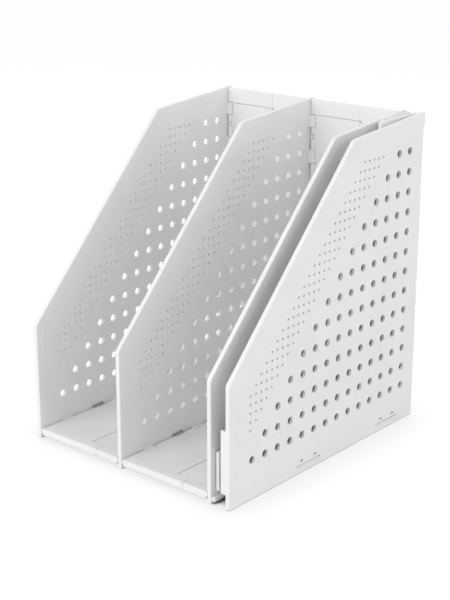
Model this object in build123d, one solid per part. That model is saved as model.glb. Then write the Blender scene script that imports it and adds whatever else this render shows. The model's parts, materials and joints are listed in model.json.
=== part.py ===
from build123d import *
import os
from math import sqrt

# Folding letter rack: four perforated side panels joined by folding backs and floors.
# X runs across the bays, Y from the low front to the back, Z up from the desk.
# The origin is the middle of the footprint, on the desk. All sizes are in millimetres.

# Side panels
panel_depth = 256.0
panel_height = 274.0
panel_thickness = 4.0
front_height = 103.0
top_length = 102.0
top_drop = 8.5
front_corner_radius = 5.0
slope_corner_radius = 8.0
base_corner_radius = 2.0
edge_round = 0.9
back_tab_height = 11.5
back_tab_reach = 2.0
rim_width = 9.0
rim_width_back = 16.0
rim_width_base = 18.0
rim_depth = 1.6
faint_rim_width_base = 11.0
faint_rim_depth = 0.15
rim_taper = 60.0
lug_root = 2.0

# Perforations: round holes on a grid and a band of small holes along the slope
hole_diameter = 6.5
hole_pitch_depth = 15.9
hole_pitch_height = 17.5
hole_start_depth = 27.5
hole_start_height = 34.0
hole_columns = 14
hole_rows = 13
small_hole_diameter = 2.0
small_pitch_depth = 6.52
small_pitch_height = 7.17
small_start_depth = 25.3
small_start_height = 59.0
small_hole_rows = 27
small_band_columns = 5

# Bays
open_width = 93.0

# Hinges
pin_diameter = 1.8
pin_clearance = 0.04
knuckle_wall = 1.2
knuckle_length = 10.0
lug_length = 12.0
knuckle_end_gap = 0.3
knuckle_side_gap = 0.3
axis_gap = 0.9
relief_depth = 1.2

# Back wall
back_thickness = 2.6
fold_gap = 1.65
back_edge_gap = 0.35
back_seam_gap = 0.4
back_seam_shift = 6.5
back_lower_hinge_inset = 48.0
back_upper_hinge_inset = 38.0
back_top_lug_length = 11.0
back_top_knuckle_length = 6.0
back_strap_root = 4.0
back_strap_clearance = 0.2
back_floor_gap = 5.0
slot_length = 12.0
slot_height = 1.0

# Header strips
header_height = 13.5
header_proud = 0.6
header_gap = 0.4
header_drop = 1.0
header_seam_gap = 0.12
header_tab_height = 14.0
header_tab_inset = 8.0
header_tab_thickness = 1.4

# Floor
floor_axis_height = 7.0
floor_rise = 2.2
floor_thickness = 2.8
floor_setback = 0.5
floor_length = 247.0
floor_wall_gap = 0.35
floor_seam_shift = 6.6
floor_seam_gap = 0.7
floor_ledge_margin = 0.7
floor_ledge_thickness = 1.4
floor_ledge_root = 6.0
floor_ledge_gap = 0.2
floor_hinge_count = 4
floor_hinge_inset = 31.0
floor_lug_rise = 3.5
floor_lug_thickness = 0.55
floor_lip_thickness = 2.4
floor_lip_clearance = 0.2
floor_front_round = 1.1
floor_tongue_length = 13.9
floor_tongue_depth = 9.5
floor_tongue_gap = 0.3
floor_groove_setback = 10.2
floor_groove_width = 0.4
floor_groove_depth = 0.3
floor_slot_length = 14.0
floor_slot_width = 3.4
floor_slot_offset = 30.0
floor_rib_width = 1.6
floor_rib_height = 1.3
floor_rib_count = 5
floor_rib_margin = 6.0

# Floor of the folded bay, whose leaves stop short of the front
folded_long_setback = 2.5
folded_short_setback = 5.0
folded_short_lip_drop = 1.1
folded_tongue_length = 7.6
folded_tongue_depth = 2.2
folded_corner_relief = 4.3
folded_corner_length = 10.0

# Base ledge beside the folded bay, catches over the floors, and snap slots on the outer faces
base_ledge_setback = 1.2
base_ledge_length = 10.0
base_ledge_width = 3.5
base_ledge_height = 3.0
base_ledge_top = 6.2
catch_height = 1.6
catch_depth = 0.55
catch_rise = 2.3
catch_recess_depth = 2.6
catch_recess_height = 2.6
snap_slot_length = 32.0
snap_slot_width = 0.9
snap_slot_depth = 1.2
snap_groove_depth = 0.25
snap_slot_height = 7.2
snap_slot_spacing = 2.6
snap_slot_centres = (100.6, 213.9)
arrow_length = 5.0
arrow_width = 2.6
arrow_offset = 10.0
arrow_height = 11.0
arrow_depth = 0.4

# Values worked out from the sizes above
front_y = -panel_depth / 2
back_y = panel_depth / 2
pin_radius = pin_diameter / 2
bore_radius = pin_radius + pin_clearance
knuckle_radius = bore_radius + knuckle_wall
standoff = knuckle_radius + axis_gap
fold_offset = back_thickness + fold_gap
folded_width = 2 * (standoff + fold_offset)
leaf_reach = open_width / 2 - standoff
back_axis_y = back_y - fold_offset - knuckle_radius
header_top = panel_height - header_drop
back_top = header_top - header_height - header_gap
floor_long_reach = open_width / 2 + floor_seam_shift - standoff - floor_seam_gap / 2
floor_short_reach = open_width / 2 - floor_seam_shift - standoff - floor_seam_gap / 2
floor_ledge_width = floor_seam_shift - floor_ledge_margin
floor_lip_drop = fold_offset - floor_lip_clearance
floor_top = floor_axis_height + floor_rise
floor_edge = sqrt((standoff - floor_wall_gap) ** 2 - floor_rise**2)
back_bottom = floor_axis_height + floor_long_reach + back_floor_gap
back_hinge_heights = (back_bottom + back_lower_hinge_inset, back_top - back_upper_hinge_inset)
back_top_lug = (back_top - back_top_lug_length, back_top)
top_knuckle_high = back_top_lug[0] - knuckle_end_gap
back_top_knuckle = (top_knuckle_high - back_top_knuckle_length, top_knuckle_high)
hinge_half = lug_length / 2 + knuckle_end_gap + knuckle_length
floor_slot_start = front_y + floor_setback + floor_hinge_inset + floor_slot_offset
floor_hinge_step = (floor_length - 2 * floor_hinge_inset) / (floor_hinge_count - 1)
floor_hinge_depths = [floor_hinge_inset + i * floor_hinge_step for i in range(floor_hinge_count)]

# The first two bays stand open and the third is folded
bay_widths = (open_width, open_width, folded_width)
total_width = sum(bay_widths) + 4 * panel_thickness
panel_x = [-total_width / 2]
for width in bay_widths:
    panel_x.append(panel_x[-1] + panel_thickness + width)


def slab(x0, x1, y0, y1, z0, z1):
    """A block between two corners."""
    return Pos((x0 + x1) / 2, (y0 + y1) / 2, (z0 + z1) / 2) * Box(x1 - x0, y1 - y0, z1 - z0)


def upright(radius, z0, z1):
    """A cylinder along Z."""
    return Pos(0, 0, (z0 + z1) / 2) * Cylinder(radius, z1 - z0)


def lying(radius, y0, y1):
    """A cylinder along Y."""
    return Pos(0, (y0 + y1) / 2, 0) * Rot(90, 0, 0) * Cylinder(radius, y1 - y0)


def mirrored(shape):
    """The shape with its left and right exchanged."""
    return mirror(shape, about=Plane.YZ)


def lug_span(centre):
    """The stretch of a hinge that its inner knuckle fills."""
    return centre - lug_length / 2, centre + lug_length / 2


def outer_spans(centre):
    """The two stretches of a hinge on each side of its inner knuckle."""
    near = lug_length / 2 + knuckle_end_gap
    return (centre - near - knuckle_length, centre - near), (centre + near, centre + near + knuckle_length)


def widened(span):
    """A hinge stretch with its end gaps, for the notch that clears it."""
    return span[0] - knuckle_end_gap, span[1] + knuckle_end_gap


# Side panels


def panel_profile():
    """The outline of a side panel, with its low front, slope and stepped back edge."""
    slope_top_y = back_y - top_length
    slope_top_z = panel_height - top_drop
    step_z = panel_height - back_tab_height
    corners = [
        (front_y, 0),
        (back_y - back_tab_reach, 0),
        (back_y - back_tab_reach, step_z),
        (back_y, step_z),
        (back_y, panel_height),
        (slope_top_y, slope_top_z),
        (front_y, front_height),
    ]
    face = make_face(Plane.YZ * Polyline(*corners, close=True))
    rounded = (
        (front_y, 0, base_corner_radius),
        (front_y, front_height, front_corner_radius),
        (slope_top_y, slope_top_z, slope_corner_radius),
        (back_y, panel_height, base_corner_radius),
    )
    for y, z, radius in rounded:
        corner = face.vertices().sort_by_distance((0, y, z))[0]
        face = fillet(corner, radius)
    return face


def panel_pocket(depth, base):
    """A pocket with sloping sides that leaves a rim round a face in the plane X = 0, cut towards -X."""
    rear = back_y - rim_width_back
    frame = Plane.YZ * Polyline(
        (front_y, base),
        (rear, base),
        (rear, panel_height),
        (front_y, panel_height),
        close=True,
    )
    outline = offset(panel_profile(), amount=-rim_width) & make_face(frame)
    return extrude(outline, depth, dir=(-1, 0, 0), taper=rim_taper)


def perforations():
    """The drills of one panel: the grid of holes and the small band along the slope."""
    drills = []
    for row in range(hole_rows):
        for column in range(row, hole_columns):
            y = front_y + hole_start_depth + column * hole_pitch_depth
            z = hole_start_height + row * hole_pitch_height
            drills.append((y, z, hole_diameter / 2))
    for row in range(small_hole_rows):
        for column in range(max(0, row - small_band_columns + 1), row + 1):
            y = front_y + small_start_depth + column * small_pitch_depth
            z = small_start_height + row * small_pitch_height
            drills.append((y, z, small_hole_diameter / 2))
    length = 3 * panel_thickness
    return [Pos(0, y, z) * Rot(0, 90, 0) * Cylinder(radius, length) for y, z, radius in drills]


def bare_panel():
    """A perforated panel from X = 0, where its pocket is, to the panel's thickness."""
    profile = panel_profile()
    plate = extrude(profile, panel_thickness)
    faces = plate.faces().sort_by(Axis.X)
    plate = fillet(faces[0].edges() + faces[-1].edges(), edge_round)
    plate -= mirrored(panel_pocket(rim_depth, rim_width_base))
    for centre in back_hinge_heights:
        for low, high in outer_spans(centre):
            edge = back_y - back_tab_reach - relief_depth
            plate -= slab(-1, panel_thickness + 1, edge, back_y, low, high)
    return plate.cut(*perforations())


def panel_lugs():
    """The hinge lugs and catch that stand on an inner face lying in the plane X = 0."""
    lugs = []
    bore = []
    root = -standoff - lug_root
    for low, high in [lug_span(centre) for centre in back_hinge_heights] + [back_top_lug]:
        barrel = upright(knuckle_radius, low, high)
        barrel += slab(root, 0, -knuckle_radius, knuckle_radius, low, high)
        lugs.append(Pos(standoff, back_axis_y, 0) * barrel)
        bore.append(Pos(standoff, back_axis_y, 0) * upright(bore_radius, low - 1, high + 1))
    for depth in floor_hinge_depths:
        low, high = lug_span(front_y + floor_setback + depth)
        barrel = lying(knuckle_radius, low, high)
        barrel += slab(root, 0, low, high, -knuckle_radius, knuckle_radius)
        wall_side = floor_lug_thickness - standoff
        barrel += slab(root, wall_side, low, high, -knuckle_radius, knuckle_radius + floor_lug_rise)
        lugs.append(Pos(standoff, 0, floor_axis_height) * barrel)
        bore.append(Pos(standoff, 0, floor_axis_height) * lying(bore_radius, low - 1, high + 1))
    catch_low = floor_top + catch_rise
    catch_end = floor_slot_start + floor_slot_length
    catch_high = catch_low + catch_height
    lugs.append(slab(-lug_root, catch_depth, floor_slot_start, catch_end, catch_low, catch_high))
    return lugs, bore


def catch_recess():
    """The blind recess under the catch of a face lying in the plane X = 0."""
    high = floor_top + catch_rise
    low = high - catch_recess_height
    end = floor_slot_start + floor_slot_length
    return slab(-catch_recess_depth, 1, floor_slot_start, end, low, high)


def base_ledge():
    """The small ledge at the foot of a face lying in the plane X = 0, near its front."""
    start = front_y + base_ledge_setback
    low = base_ledge_top - base_ledge_height
    return slab(-lug_root, base_ledge_width, start, start + base_ledge_length, low, base_ledge_top)


def outer_marks():
    """Cutters of the snap slots and plain arrows on an outer face in the plane X = 0, cut towards +X."""
    cutters = []
    for centre in snap_slot_centres:
        y = front_y + centre
        half = snap_slot_length / 2
        lower = snap_slot_height - snap_slot_spacing
        for height, depth in ((snap_slot_height, snap_slot_depth), (lower, snap_groove_depth)):
            low = height - snap_slot_width / 2
            cutters.append(slab(-1, depth, y - half, y + half, low, low + snap_slot_width))
        for side in (-1, 1):
            root = y + side * (arrow_offset - arrow_length / 2)
            tip = y + side * (arrow_offset + arrow_length / 2)
            corners = [
                (root, arrow_height - arrow_width / 2),
                (tip, arrow_height),
                (root, arrow_height + arrow_width / 2),
            ]
            arrow = make_face(Plane.YZ * Polyline(*corners, close=True))
            cutters.append(Pos(-1, 0, 0) * extrude(arrow, arrow_depth + 1, dir=(1, 0, 0)))
    return cutters


def side_panel(panel, has_left_bay, has_right_bay, has_ledge):
    """One side panel with hinge lugs towards each bay beside it."""
    lugs, bores = panel_lugs()
    right_face = Pos(panel_thickness, 0, 0)
    additions = [right_face * base_ledge()] if has_ledge else []
    drills = []
    if has_right_bay:
        panel -= right_face * panel_pocket(faint_rim_depth, faint_rim_width_base)
        panel -= right_face * catch_recess()
        additions += [right_face * lug for lug in lugs]
        drills += [right_face * bore for bore in bores]
    else:
        panel = panel.cut(*[right_face * mirrored(mark) for mark in outer_marks()])
    if has_left_bay:
        additions += [mirrored(lug) for lug in lugs]
        drills += [mirrored(bore) for bore in bores]
    else:
        panel = panel.cut(*outer_marks())
    return panel.fuse(*additions).cut(*drills)


# Back wall


def back_seam(is_long):
    """How far the plate of a back leaf reaches from its panel hinge."""
    shift = back_seam_shift if is_long else -back_seam_shift
    return leaf_reach + shift - back_seam_gap / 2


def wall_side_hinges(leaf):
    """A back leaf with notches for the panel's lugs and knuckles between them."""
    notch_end = knuckle_radius + knuckle_side_gap
    notches = [widened(lug_span(centre)) for centre in back_hinge_heights]
    notches.append((back_top_lug[0] - knuckle_end_gap, back_top + 1))
    for low, high in notches:
        leaf -= slab(-standoff, notch_end, -1, back_thickness + 1, low, high)
    knuckles = [span for centre in back_hinge_heights for span in outer_spans(centre)]
    knuckles.append(back_top_knuckle)
    bores = []
    for low, high in knuckles:
        leaf += upright(knuckle_radius, low, high)
        bores.append(upright(bore_radius, low - 1, high + 1))
    return leaf.cut(*bores)


def long_leaf_knuckles(leaf):
    """The long leaf with its centre knuckles behind it and pockets that clear the short leaf's."""
    clear = knuckle_radius + knuckle_side_gap
    left, right = leaf_reach - clear, leaf_reach + clear
    bores = []
    for centre in back_hinge_heights:
        for span in outer_spans(centre):
            low, high = widened(span)
            leaf -= slab(left, right, fold_offset - clear, fold_offset, low, high)
        low, high = lug_span(centre)
        barrel = upright(knuckle_radius, low, high)
        barrel += slab(-knuckle_radius, 0, back_thickness / 2 - fold_offset, 0, low, high)
        leaf += Pos(leaf_reach, fold_offset, 0) * barrel
        bores.append(Pos(leaf_reach, fold_offset, 0) * upright(bore_radius, low - 1, high + 1))
    return leaf.cut(*bores)


def short_leaf_knuckles(leaf):
    """The short leaf with straps that carry its centre knuckles behind the long leaf's edge."""
    strap_front = back_thickness + back_strap_clearance
    root_end = leaf_reach - back_seam_shift - back_seam_gap
    root_start = root_end - back_strap_root
    bores = []
    for centre in back_hinge_heights:
        for low, high in outer_spans(centre):
            leaf += slab(root_start, root_end, back_thickness / 2, fold_offset, low, high)
            leaf += slab(root_start, leaf_reach, strap_front, fold_offset, low, high)
            leaf += Pos(leaf_reach, fold_offset, 0) * upright(knuckle_radius, low, high)
            bores.append(Pos(leaf_reach, fold_offset, 0) * upright(bore_radius, low - 1, high + 1))
    slot_start = root_end - slot_length
    leaf -= slab(slot_start, leaf_reach, -1, back_thickness + 1, back_top - slot_height, back_top + 1)
    return leaf.cut(*bores)


def back_leaf(is_long):
    """A back leaf that runs to +X from its panel hinge, whose axis is X = 0, Y = 0."""
    near = back_edge_gap - standoff
    leaf = slab(near, back_seam(is_long), 0, back_thickness, back_bottom, back_top)
    leaf = wall_side_hinges(leaf)
    return long_leaf_knuckles(leaf) if is_long else short_leaf_knuckles(leaf)


def header_strip(is_long):
    """The strip over a back leaf, held by a thin tab behind that leaf."""
    near = back_edge_gap - standoff
    far = back_seam(is_long) + (back_seam_gap - header_seam_gap) / 2
    strip = slab(near, far, -header_proud, back_thickness, back_top + header_gap, header_top)
    edges = strip.edges().filter_by(Axis.X).sort_by(Axis.Z)[-2:]
    strip = fillet(edges, edge_round)
    tab_low = back_top - header_tab_height
    tab_high = header_top - 2 * edge_round
    tab_rear = back_thickness + header_tab_thickness
    strip += slab(header_tab_inset, far - header_tab_inset, back_thickness, tab_rear, tab_low, tab_high)
    return strip


def back_pins(x, y, is_wall_side):
    """The pins of one upright hinge line, one through each group of knuckles."""
    spans = [(centre - hinge_half, centre + hinge_half) for centre in back_hinge_heights]
    if is_wall_side:
        spans.append((back_top_knuckle[0], back_top_lug[1]))
    return [Pos(x, y, 0) * upright(pin_radius, low, high) for low, high in spans]


# Floor


def floor_plate(reach, front, rear, drop):
    """The plate of a floor leaf with a front lip of that drop and rounded front edges."""
    under = floor_rise - floor_thickness
    plate = slab(-floor_edge, reach, front, rear, under, floor_rise)
    plate += slab(-floor_edge, reach, front, front + floor_lip_thickness, -drop, floor_rise)
    return fillet(plate.faces().sort_by(Axis.Y)[0].edges().filter_by(Axis.X), floor_front_round)


def long_floor_plate(front, rear, is_folded):
    """The long floor plate, whose front tongue reaches past the seam."""
    length = folded_tongue_length if is_folded else floor_tongue_length
    depth = folded_tongue_depth if is_folded else floor_tongue_depth
    tip = floor_long_reach + length
    plate = floor_plate(tip, front, rear, floor_lip_drop)
    plate -= slab(floor_long_reach, tip + 1, front + depth, rear + 1, -2 * standoff, standoff)
    return plate


def short_floor_plate(front, rear, is_folded):
    """The short floor plate, with a ledge under the long plate and room for its tongue."""
    reach = floor_short_reach
    drop = folded_short_lip_drop if is_folded else floor_lip_drop
    plate = floor_plate(reach, front, rear, drop)
    ledge_top = floor_rise - floor_thickness - floor_ledge_gap
    ledge_low = ledge_top - floor_ledge_thickness
    ledge_front = front + floor_lip_thickness + floor_ledge_gap
    ledge_end = reach + floor_ledge_width
    root = reach - floor_ledge_root
    plate += slab(root, reach, ledge_front, rear, ledge_low, floor_rise)
    if not is_folded:
        notch = reach + floor_seam_gap - floor_tongue_length - floor_tongue_gap
        notch_rear = front + floor_tongue_depth + floor_tongue_gap
        plate -= slab(notch, reach + 1, front - 1, notch_rear, -2 * standoff, 2 * standoff)
    plate += slab(root, ledge_end, ledge_front, rear, ledge_low, ledge_top)
    return plate


def floor_ribs(reach, front, rear):
    """The ribs across the underside of a floor leaf."""
    under = floor_rise - floor_thickness
    start = knuckle_radius + floor_rib_margin
    end = reach - floor_ledge_root - floor_ledge_gap
    first = front + floor_tongue_depth + floor_rib_margin
    step = (rear - first - floor_rib_margin) / (floor_rib_count - 1)
    half = floor_rib_width / 2
    ribs = []
    for i in range(floor_rib_count):
        y = first + i * step
        ribs.append(slab(start, end, y - half, y + half, under - floor_rib_height, under + 1))
    return ribs


def floor_leaf(is_long, is_folded):
    """A floor leaf that runs to +X from its panel hinge, whose axis is X = 0, Z = 0."""
    reach = floor_long_reach if is_long else floor_short_reach
    folded_setback = folded_long_setback if is_long else folded_short_setback
    front = front_y + (folded_setback if is_folded else floor_setback)
    rear = front_y + floor_setback + floor_length
    plate = long_floor_plate if is_long else short_floor_plate
    leaf = plate(front, rear, is_folded).fuse(*floor_ribs(reach, front, rear))
    leaf += lying(standoff - floor_wall_gap, front, rear)
    groove = front_y + floor_groove_setback
    groove_low = floor_rise - floor_groove_depth
    leaf -= slab(floor_rib_margin, reach, groove, groove + floor_groove_width, groove_low, floor_rise + 1)
    bores = []
    for depth in floor_hinge_depths:
        centre = front_y + floor_setback + depth
        low, high = widened(lug_span(centre))
        leaf -= slab(-standoff, knuckle_radius + knuckle_side_gap, low, high, -standoff, standoff)
        low, high = widened((centre - hinge_half, centre + hinge_half))
        bores.append(lying(bore_radius, low, high))
    if is_folded:
        corner_end = front_y + folded_long_setback + folded_corner_length
        leaf -= slab(-standoff, folded_corner_relief, front - 1, corner_end, -2 * standoff, standoff)
    slot_end = floor_slot_start + floor_slot_length
    leaf -= slab(-standoff, floor_slot_width - standoff, floor_slot_start, slot_end, -standoff, standoff)
    return leaf.cut(*bores)


def floor_pins(x):
    """The pins of one floor hinge line, one through each group of knuckles."""
    centres = [front_y + floor_setback + depth for depth in floor_hinge_depths]
    place = Pos(x, 0, floor_axis_height)
    return [place * lying(pin_radius, centre - hinge_half, centre + hinge_half) for centre in centres]


# The assembly at rest

parts = {}
plain_panel = bare_panel()
panel_names = ("left_end_panel", "left_divider_panel", "right_divider_panel", "right_end_panel")
for index, name in enumerate(panel_names):
    has_right_bay = index < len(bay_widths)
    has_ledge = has_right_bay and bay_widths[index] < open_width
    panel = side_panel(plain_panel, index > 0, has_right_bay, has_ledge)
    parts[name] = Pos(panel_x[index], 0, 0) * panel

for index, width in enumerate(bay_widths):
    bay = index + 1
    is_folded = width < open_width
    turn = 90 if is_folded else 0
    left_x = panel_x[index] + panel_thickness + standoff
    right_x = panel_x[index + 1] - standoff
    back_left = Pos(left_x, back_axis_y, 0) * Rot(0, 0, -turn)
    back_right = Pos(right_x, back_axis_y, 0) * Rot(0, 0, turn)
    floor_left = Pos(left_x, 0, floor_axis_height) * Rot(0, -turn, 0)
    floor_right = Pos(right_x, 0, floor_axis_height) * Rot(0, turn, 0)
    # The long leaves are on the left of the open bays and on the right of the folded one
    for side, place in (("left", back_left), ("right", back_right)):
        is_long = (side == "right") == is_folded
        leaf, strip = back_leaf(is_long), header_strip(is_long)
        if side == "right":
            leaf, strip = mirrored(leaf), mirrored(strip)
        parts[f"back_{side}_leaf_{bay}"] = place * leaf
        parts[f"header_{side}_strip_{bay}"] = place * strip
    parts[f"back_left_pins_{bay}"] = Compound(children=back_pins(left_x, back_axis_y, True))
    parts[f"back_right_pins_{bay}"] = Compound(children=back_pins(right_x, back_axis_y, True))
    centre_pins = Compound(children=back_pins(leaf_reach, fold_offset, False))
    parts[f"back_centre_pins_{bay}"] = back_left * centre_pins
    for side, place in (("left", floor_left), ("right", floor_right)):
        leaf = floor_leaf((side == "right") == is_folded, is_folded)
        parts[f"floor_{side}_leaf_{bay}"] = place * (mirrored(leaf) if side == "right" else leaf)
    parts[f"floor_left_pins_{bay}"] = Compound(children=floor_pins(left_x))
    parts[f"floor_right_pins_{bay}"] = Compound(children=floor_pins(right_x))

os.makedirs("parts", exist_ok=True)
for name, shape in parts.items():
    export_step(shape, f"parts/{name}.step")
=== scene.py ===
import json
import math

import bpy
from mathutils import Matrix, Vector


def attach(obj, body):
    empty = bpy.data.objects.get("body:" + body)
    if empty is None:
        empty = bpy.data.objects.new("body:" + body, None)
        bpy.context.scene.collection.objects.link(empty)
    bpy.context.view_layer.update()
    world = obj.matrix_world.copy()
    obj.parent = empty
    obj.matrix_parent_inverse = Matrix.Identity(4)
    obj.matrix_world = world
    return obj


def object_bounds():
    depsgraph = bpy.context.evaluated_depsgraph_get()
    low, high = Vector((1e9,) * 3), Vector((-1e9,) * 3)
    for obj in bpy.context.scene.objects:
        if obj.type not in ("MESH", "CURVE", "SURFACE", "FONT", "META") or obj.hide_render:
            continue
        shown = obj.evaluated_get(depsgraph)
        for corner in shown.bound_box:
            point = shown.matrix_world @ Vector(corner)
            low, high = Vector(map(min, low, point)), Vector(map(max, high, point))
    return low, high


# Folding letter rack of white plastic: finishes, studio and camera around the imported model.
# All lengths are in metres, in the model's own frame.

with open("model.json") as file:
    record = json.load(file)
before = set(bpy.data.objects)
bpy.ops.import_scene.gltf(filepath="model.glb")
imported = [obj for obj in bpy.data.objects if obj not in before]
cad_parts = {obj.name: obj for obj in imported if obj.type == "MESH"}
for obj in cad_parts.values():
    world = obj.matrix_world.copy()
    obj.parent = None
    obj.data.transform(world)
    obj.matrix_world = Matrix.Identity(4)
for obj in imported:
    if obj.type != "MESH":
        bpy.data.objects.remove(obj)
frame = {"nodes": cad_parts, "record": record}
cad_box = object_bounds()

WHITE = (1.0, 1.0, 1.0, 1.0)

# Finishes
NOISE_SPREAD = (0.3, 0.7)
TONE_STOPS = (0.35, 0.65)
PLASTIC_LIGHT = (0.86, 0.86, 0.86, 1.0)
PLASTIC_SHADE = (0.83, 0.83, 0.83, 1.0)
PLASTIC_ROUGHNESS = (0.40, 0.54)
PLASTIC_IOR = 1.49
GRAIN_SIZE = 0.0006
GRAIN_DETAIL = 3.0
GRAIN_DEPTH = 0.00006
GRAIN_STRENGTH = 0.35
FLOW_SIZE = 0.045
FLOW_DETAIL = 2.0
FLOW_DEPTH = 0.0004
FLOW_STRENGTH = 0.10
EDGE_RADIUS = 0.0004
EDGE_SAMPLES = 4
STEEL_LIGHT = (0.66, 0.67, 0.69, 1.0)
STEEL_SHADE = (0.50, 0.51, 0.53, 1.0)
STEEL_ROUGHNESS = (0.22, 0.38)
DRAWING_SIZE = 0.0004
DRAWING_DETAIL = 4.0
DRAWING_STRETCH = (1.0, 1.0, 6.0)
DRAWING_DEPTH = 0.00002
DRAWING_STRENGTH = 0.2
INK_LIGHT = (0.34, 0.34, 0.34, 1.0)
INK_SHADE = (0.28, 0.28, 0.28, 1.0)
INK_ROUGHNESS = (0.50, 0.62)
INK_DETAIL = 2.0

# Printed arrows in the engraved ones on the outer faces, placed from the front edge and the desk
ARROW_CENTRES = (0.0906, 0.1106, 0.2039, 0.2239)
ARROW_LENGTH = 0.0048
ARROW_WIDTH = 0.0024
ARROW_HEIGHT = 0.0110
ARROW_SINK = 0.00005
ARROW_THICKNESS = 0.0003

# Studio floor: its colour when seen, its bounce on the object, its own light and its mirror image
FLOOR_SIZE = 20.0
FLOOR_DROP = 0.0002
FLOOR_COLOUR = (0.84, 0.84, 0.84, 1.0)
FLOOR_BOUNCE = (0.78, 0.78, 0.78, 1.0)
FLOOR_GLOW = 0.885
FLOOR_SHARE = 0.17
FLOOR_GLOSS = 0.05
FLOOR_GLOSS_ROUGHNESS = 0.12

# Painted shade on the floor, made by dimming its own light: in narrow cavities, less so along the
# front, and a painted contact shadow beside the object
CAVITY_SIZE = 0.03
CAVITY_RANGE = (0.08, 0.42)
CAVITY_AT_FRONT = 0.2
CAVITY_DEPTH = (0.010, 0.016)
# From this share of the width on, over the folded bay, the painted cavity shade reaches right to
# the front
FOLDED_BAY_SHARE = 0.91
FOLDED_BAY_STEP = 0.0002
# Painted contact shadow beside the object: the reach it looks over, its occlusion range and the
# share of light it takes
CONTACT_SIZE = 0.045
CONTACT_RANGE = (0.50, 0.95)
CONTACT_LOSS = 0.13

# Light: the sky's strength at the horizon and overhead, and large soft lamps with place and watts
SKY_LOW = 0.81
SKY_HIGH = 0.65
LAMP_AIM = (0.0, 0.0, 0.12)
LAMP_SIZE = 1.4
LAMPS = (
    ("key_front", (-0.30, -1.80, 0.95), 16.0),
    ("fill_right", (1.70, 0.15, 0.70), 6.0),
    ("fill_back", (-1.00, 1.70, 0.45), 5.0),
)

# Camera, from a fit to the rows of holes in the photograph of 450 by 600 pixels
IMAGE_HEIGHT = 600.0
SENSOR = 36.0
CAMERA_AZIMUTH = 40.43
CAMERA_ELEVATION = 18.18
CAMERA_FOCAL_PIXELS = 1354.2
CAMERA_DISTANCE = 1.15654
CAMERA_ACROSS = -0.00367
CAMERA_RISE = -0.01875
CAMERA_TARGET = Vector((0.0, 0.0, 0.136))


def new_material(name):
    """A material with its node tree, and its main shader."""
    material = bpy.data.materials.new(name)
    material.use_nodes = True
    tree = material.node_tree
    return material, tree, tree.nodes["Principled BSDF"]


def noise(tree, size, detail, stretch=(1.0, 1.0, 1.0)):
    """Noise in the model's own coordinates, whose features are about size across."""
    coordinates = tree.nodes.new("ShaderNodeTexCoord")
    mapping = tree.nodes.new("ShaderNodeMapping")
    mapping.inputs["Scale"].default_value = stretch
    texture = tree.nodes.new("ShaderNodeTexNoise")
    texture.inputs["Scale"].default_value = 1.0 / size
    texture.inputs["Detail"].default_value = detail
    tree.links.new(coordinates.outputs["Object"], mapping.inputs["Vector"])
    tree.links.new(mapping.outputs["Vector"], texture.inputs["Vector"])
    return texture.outputs["Fac"]


def ranged(tree, value, start, end, low, high):
    """A value that goes from low to high while another goes from start to end."""
    node = tree.nodes.new("ShaderNodeMapRange")
    names = ("From Min", "From Max", "To Min", "To Max")
    for name, number in zip(names, (start, end, low, high)):
        node.inputs[name].default_value = number
    tree.links.new(value, node.inputs["Value"])
    return node.outputs["Result"]


def joined(tree, operation, first, second):
    """Two values put together by a sum, product or the like."""
    node = tree.nodes.new("ShaderNodeMath")
    node.operation = operation
    tree.links.new(first, node.inputs[0])
    tree.links.new(second, node.inputs[1])
    return node.outputs["Value"]


def two_tone(tree, factor, dark, light):
    """A colour between two tones."""
    ramp = tree.nodes.new("ShaderNodeValToRGB")
    for element, stop, colour in zip(ramp.color_ramp.elements, TONE_STOPS, (dark, light)):
        element.position = stop
        element.color = colour
    tree.links.new(factor, ramp.inputs["Fac"])
    return ramp.outputs["Color"]


def bump(tree, height, depth, strength, normal=None):
    """A bump of that depth, on top of another normal if one is given."""
    node = tree.nodes.new("ShaderNodeBump")
    node.inputs["Strength"].default_value = strength
    node.inputs["Distance"].default_value = depth
    tree.links.new(height, node.inputs["Height"])
    if normal is not None:
        tree.links.new(normal, node.inputs["Normal"])
    return node.outputs["Normal"]


def white_plastic():
    """Moulded white plastic with a fine satin grain, faint flow marks and softened edges."""
    material, tree, shader = new_material("white_moulded_plastic")
    grain = noise(tree, GRAIN_SIZE, GRAIN_DETAIL)
    flow = noise(tree, FLOW_SIZE, FLOW_DETAIL)
    edge = tree.nodes.new("ShaderNodeBevel")
    edge.samples = EDGE_SAMPLES
    edge.inputs["Radius"].default_value = EDGE_RADIUS
    waves = bump(tree, flow, FLOW_DEPTH, FLOW_STRENGTH, edge.outputs["Normal"])
    skin = bump(tree, grain, GRAIN_DEPTH, GRAIN_STRENGTH, waves)
    colour = two_tone(tree, flow, PLASTIC_SHADE, PLASTIC_LIGHT)
    roughness = ranged(tree, grain, *NOISE_SPREAD, *PLASTIC_ROUGHNESS)
    tree.links.new(skin, shader.inputs["Normal"])
    tree.links.new(colour, shader.inputs["Base Color"])
    tree.links.new(roughness, shader.inputs["Roughness"])
    shader.inputs["IOR"].default_value = PLASTIC_IOR
    return material


def drawn_steel():
    """Bright drawn wire, with fine lines round the pins."""
    material, tree, shader = new_material("drawn_steel_wire")
    lines = noise(tree, DRAWING_SIZE, DRAWING_DETAIL, DRAWING_STRETCH)
    colour = two_tone(tree, lines, STEEL_SHADE, STEEL_LIGHT)
    roughness = ranged(tree, lines, *NOISE_SPREAD, *STEEL_ROUGHNESS)
    skin = bump(tree, lines, DRAWING_DEPTH, DRAWING_STRENGTH)
    tree.links.new(colour, shader.inputs["Base Color"])
    tree.links.new(roughness, shader.inputs["Roughness"])
    tree.links.new(skin, shader.inputs["Normal"])
    shader.inputs["Metallic"].default_value = 1.0
    return material


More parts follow.
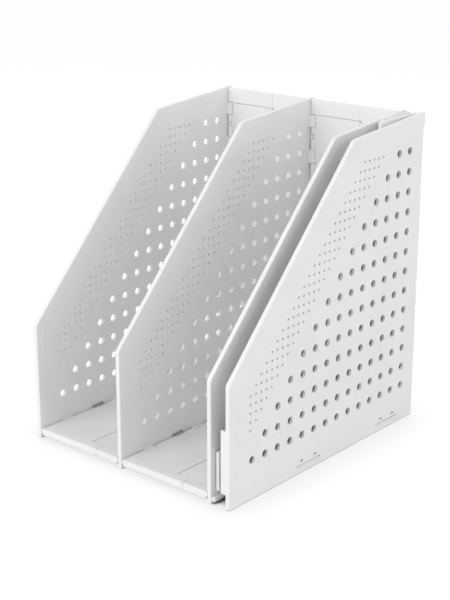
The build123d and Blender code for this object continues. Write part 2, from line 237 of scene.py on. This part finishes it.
def grey_ink():
    """Matte grey print with a slightly uneven lay."""
    material, tree, shader = new_material("grey_print")
    lay = noise(tree, GRAIN_SIZE, INK_DETAIL)
    colour = two_tone(tree, lay, INK_SHADE, INK_LIGHT)
    roughness = ranged(tree, lay, *NOISE_SPREAD, *INK_ROUGHNESS)
    tree.links.new(colour, shader.inputs["Base Color"])
    tree.links.new(roughness, shader.inputs["Roughness"])
    return material


def printed_arrow(name, material, body, face_x, inward, centre, pointing):
    """A plain arrow that fills an engraved one, just under the outer face."""
    root = centre - pointing * ARROW_LENGTH / 2
    tip = centre + pointing * ARROW_LENGTH / 2
    outline = [
        (root, ARROW_HEIGHT - ARROW_WIDTH / 2),
        (tip, ARROW_HEIGHT),
        (root, ARROW_HEIGHT + ARROW_WIDTH / 2),
    ]
    outer = face_x + inward * ARROW_SINK
    inner = outer + inward * ARROW_THICKNESS
    points = [(x, y, z) for x in (outer, inner) for y, z in outline]
    sides = [(0, 1, 4, 3), (1, 2, 5, 4), (2, 0, 3, 5)]
    mesh = bpy.data.meshes.new(name)
    mesh.from_pydata(points, [], [(0, 1, 2), (5, 4, 3)] + sides)
    if inward * pointing > 0:
        mesh.flip_normals()
    mesh.materials.append(material)
    arrow = bpy.data.objects.new(name, mesh)
    bpy.context.scene.collection.objects.link(arrow)
    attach(arrow, body)


def printed_arrows():
    """The arrows over the snap slots of both outer faces, in pairs that point apart."""
    material = grey_ink()
    (left, front, _), (right, _, _) = cad_box
    for body, face_x, inward in (("left_end", left, 1), ("right_end", right, -1)):
        for index, centre in enumerate(ARROW_CENTRES):
            pointing = 1 if index % 2 else -1
            name = f"{body}_arrow_{index + 1}"
            printed_arrow(name, material, body, face_x, inward, front + centre, pointing)


def dress_nodes():
    """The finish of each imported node, by the material slot that its record names."""
    finishes = {"white_plastic": white_plastic(), "pin_steel": drawn_steel()}
    for row in frame["record"]["subparts"]:
        piece = frame["nodes"][row["node"]]
        piece.data.materials.clear()
        piece.data.materials.append(finishes[row["material_slot"]])


def seen_directly(tree):
    """1 for what is seen, straight, in gloss or through glass, and 0 for light on the object."""
    path = tree.nodes.new("ShaderNodeLightPath")
    rays = path.outputs
    indirect = joined(tree, "MAXIMUM", rays["Is Glossy Ray"], rays["Is Transmission Ray"])
    return joined(tree, "MAXIMUM", rays["Is Camera Ray"], indirect)


def openness(tree, reach):
    """1 on open ground, less where the object is near, within that reach."""
    node = tree.nodes.new("ShaderNodeAmbientOcclusion")
    node.inputs["Distance"].default_value = reach
    return node.outputs["AO"]


def floor_glow_with_painted_shade(tree):
    """The floor's own light, dimmed by painted shade: a little beside the object and more in its
    cavities.
    """
    geometry = tree.nodes.new("ShaderNodeNewGeometry")
    split = tree.nodes.new("ShaderNodeSeparateXYZ")
    tree.links.new(geometry.outputs["Position"], split.inputs["Vector"])
    (left, front, _), (right, _, _) = cad_box
    bay_start = left + (right - left) * FOLDED_BAY_SHARE
    bay_edge = (bay_start, bay_start + FOLDED_BAY_STEP)
    depths = [front + depth for depth in CAVITY_DEPTH]
    behind = ranged(tree, split.outputs["Y"], *depths, CAVITY_AT_FRONT, 1.0)
    beside = ranged(tree, split.outputs["X"], *bay_edge, CAVITY_AT_FRONT, 1.0)
    # Painted shade: the floor's light is dimmed where the object closes it in, less along the
    # front except over the folded bay
    closed = ranged(tree, openness(tree, CAVITY_SIZE), *CAVITY_RANGE, 1.0, 0.0)
    painted_cavity_shade = joined(tree, "MULTIPLY", closed, joined(tree, "MAXIMUM", behind, beside))
    # Painted contact shadow: the floor's light dims a little close beside the object
    painted_contact_shade = ranged(tree, openness(tree, CONTACT_SIZE), *CONTACT_RANGE, CONTACT_LOSS, 0.0)
    painted_shade = joined(tree, "MAXIMUM", painted_cavity_shade, painted_contact_shade)
    return ranged(tree, painted_shade, 0.0, 1.0, FLOOR_GLOW / (1.0 - FLOOR_SHARE), 0.0)


def pale_floor():
    """A white floor that keeps a soft shadow and a faint mirror image, with painted shade in its
    cavities and beside the object.
    """
    half = FLOOR_SIZE / 2
    corners = [(-half, -half), (half, -half), (half, half), (-half, half)]
    mesh = bpy.data.meshes.new("studio_floor")
    mesh.from_pydata([(x, y, -FLOOR_DROP) for x, y in corners], [], [(0, 1, 2, 3)])
    floor = bpy.data.objects.new("studio_floor", mesh)
    bpy.context.scene.collection.objects.link(floor)
    material, tree, shader = new_material("studio_floor")
    tree.nodes.remove(shader)
    diffuse = tree.nodes.new("ShaderNodeBsdfDiffuse")
    diffuse.inputs["Color"].default_value = FLOOR_COLOUR
    bounce = tree.nodes.new("ShaderNodeBsdfDiffuse")
    bounce.inputs["Color"].default_value = FLOOR_BOUNCE
    glossy = tree.nodes.new("ShaderNodeBsdfGlossy")
    glossy.inputs["Roughness"].default_value = FLOOR_GLOSS_ROUGHNESS
    glow = tree.nodes.new("ShaderNodeEmission")
    # The glow's strength carries the painted shade of the cavities and beside the object
    tree.links.new(floor_glow_with_painted_shade(tree), glow.inputs["Strength"])
    sheen = tree.nodes.new("ShaderNodeMixShader")
    sheen.inputs["Fac"].default_value = FLOOR_GLOSS
    tree.links.new(diffuse.outputs["BSDF"], sheen.inputs[1])
    tree.links.new(glossy.outputs["BSDF"], sheen.inputs[2])
    lit = tree.nodes.new("ShaderNodeMixShader")
    lit.inputs["Fac"].default_value = 1.0 - FLOOR_SHARE
    tree.links.new(sheen.outputs["Shader"], lit.inputs[1])
    tree.links.new(glow.outputs["Emission"], lit.inputs[2])
    shown = tree.nodes.new("ShaderNodeMixShader")
    tree.links.new(seen_directly(tree), shown.inputs["Fac"])
    tree.links.new(bounce.outputs["BSDF"], shown.inputs[1])
    tree.links.new(lit.outputs["Shader"], shown.inputs[2])
    tree.links.new(shown.outputs["Shader"], tree.nodes["Material Output"].inputs["Surface"])
    mesh.materials.append(material)


def pale_sky():
    """Soft light from all round, stronger from the sides than from above, seen as white."""
    world = bpy.data.worlds.new("studio")
    world.use_nodes = True
    bpy.context.scene.world = world
    tree = world.node_tree
    light = tree.nodes["Background"]
    light.inputs["Color"].default_value = WHITE
    direction = tree.nodes.new("ShaderNodeTexCoord")
    split = tree.nodes.new("ShaderNodeSeparateXYZ")
    tree.links.new(direction.outputs["Generated"], split.inputs["Vector"])
    strength = ranged(tree, split.outputs["Z"], 0.0, 1.0, SKY_LOW, SKY_HIGH)
    tree.links.new(strength, light.inputs["Strength"])
    white = tree.nodes.new("ShaderNodeBackground")
    white.inputs["Color"].default_value = WHITE
    white.inputs["Strength"].default_value = 1.0
    shown = tree.nodes.new("ShaderNodeMixShader")
    tree.links.new(seen_directly(tree), shown.inputs["Fac"])
    tree.links.new(light.outputs["Background"], shown.inputs[1])
    tree.links.new(white.outputs["Background"], shown.inputs[2])
    tree.links.new(shown.outputs["Shader"], tree.nodes["World Output"].inputs["Surface"])


def soft_box(name, place, power):
    """A large square lamp that points at the object."""
    lamp = bpy.data.lights.new(name, "AREA")
    lamp.shape = "SQUARE"
    lamp.size = LAMP_SIZE
    lamp.energy = power
    lamp_object = bpy.data.objects.new(name, lamp)
    lamp_object.location = place
    direction = Vector(LAMP_AIM) - Vector(place)
    lamp_object.rotation_euler = direction.to_track_quat("-Z", "Y").to_euler()
    bpy.context.scene.collection.objects.link(lamp_object)


def studio_lamps():
    """A lamp in front, a little to the left, and weaker ones on the right and low behind."""
    for name, place, power in LAMPS:
        soft_box(name, place, power)


def photo_camera():
    """The camera of the photograph."""
    azimuth = math.radians(CAMERA_AZIMUTH)
    elevation = math.radians(CAMERA_ELEVATION)
    level = math.cos(elevation)
    back = Vector((math.sin(azimuth) * level, -math.cos(azimuth) * level, math.sin(elevation)))
    right = Vector((math.cos(azimuth), math.sin(azimuth), 0.0))
    up = back.cross(right)
    data = bpy.data.cameras.new("photo_camera")
    data.sensor_fit = "AUTO"
    data.sensor_width = SENSOR
    data.lens = CAMERA_FOCAL_PIXELS * SENSOR / IMAGE_HEIGHT
    camera = bpy.data.objects.new("photo_camera", data)
    place = CAMERA_TARGET + right * CAMERA_ACROSS + up * CAMERA_RISE + back * CAMERA_DISTANCE
    turn = Matrix((right, up, back)).transposed().to_4x4()
    camera.matrix_world = Matrix.Translation(place) @ turn
    bpy.context.scene.collection.objects.link(camera)
    bpy.context.scene.camera = camera


dress_nodes()
printed_arrows()
pale_floor()
pale_sky()
studio_lamps()
photo_camera()
bpy.context.scene.view_settings.view_transform = "Standard"
